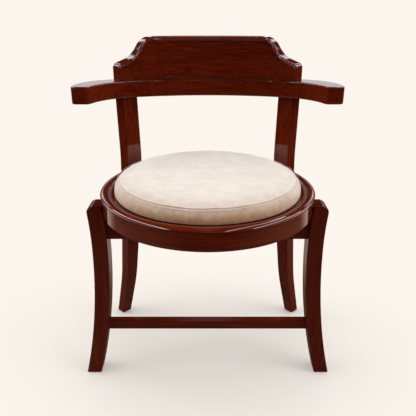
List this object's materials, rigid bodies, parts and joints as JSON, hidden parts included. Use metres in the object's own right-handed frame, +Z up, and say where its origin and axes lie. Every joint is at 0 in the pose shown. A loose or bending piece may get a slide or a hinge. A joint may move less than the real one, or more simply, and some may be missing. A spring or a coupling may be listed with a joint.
{
  "type": "accent chair",
  "caption": "Wooden captain's chair: round rimmed seat with a loose crowned cushion, curved arm bow with an S-shouldered crest, waisted front legs and swept back legs.",
  "frame": {"origin": "on the floor under the middle of the chair's bounding box", "axes": "+Z up, the sitter looks along -Y, +X to the right seen from the front"},
  "size_m": [0.584, 0.4692, 0.762],
  "materials": {
    "mahogany": "gloss lacquer over a dark red-brown stain",
    "beech": "planed, unfinished",
    "plywood": "sanded, unfinished",
    "suede": "brushed suede-like cloth, mottled beige",
    "foam": "open cell foam",
    "dust_cloth": "black non-woven cloth",
    "steel": "bright zinc plated",
    "glide_nylon": "matt brown"
  },
  "bodies": {
    "root": {"seat_rim": "mahogany", "seat_apron": "mahogany", "front_leg_left": "mahogany", "front_leg_right": "mahogany", "rear_leg_left": "mahogany", "rear_leg_right": "mahogany", "arm_left": "mahogany", "arm_right": "mahogany", "crest_rail": "mahogany", "front_rail": "mahogany", "rear_rail": "mahogany", "front_stretcher": "mahogany", "rim_dowels": "beech", "arm_joint_dowels": "beech", "crest_dowels": "beech", "post_dowels": "beech", "seat_blocks": "beech", "seat_board": "plywood", "seat_cover_top": "suede", "seat_cover_band": "suede", "seat_foam": "foam", "seat_dust_cover": "dust_cloth", "cover_staples": "steel", "leg_bolts": "steel", "leg_bolt_washers": "steel", "crest_screws": "steel", "seat_screws": "steel", "block_screws": "steel", "floor_glides": "glide_nylon"}
  },
  "joints": []
}
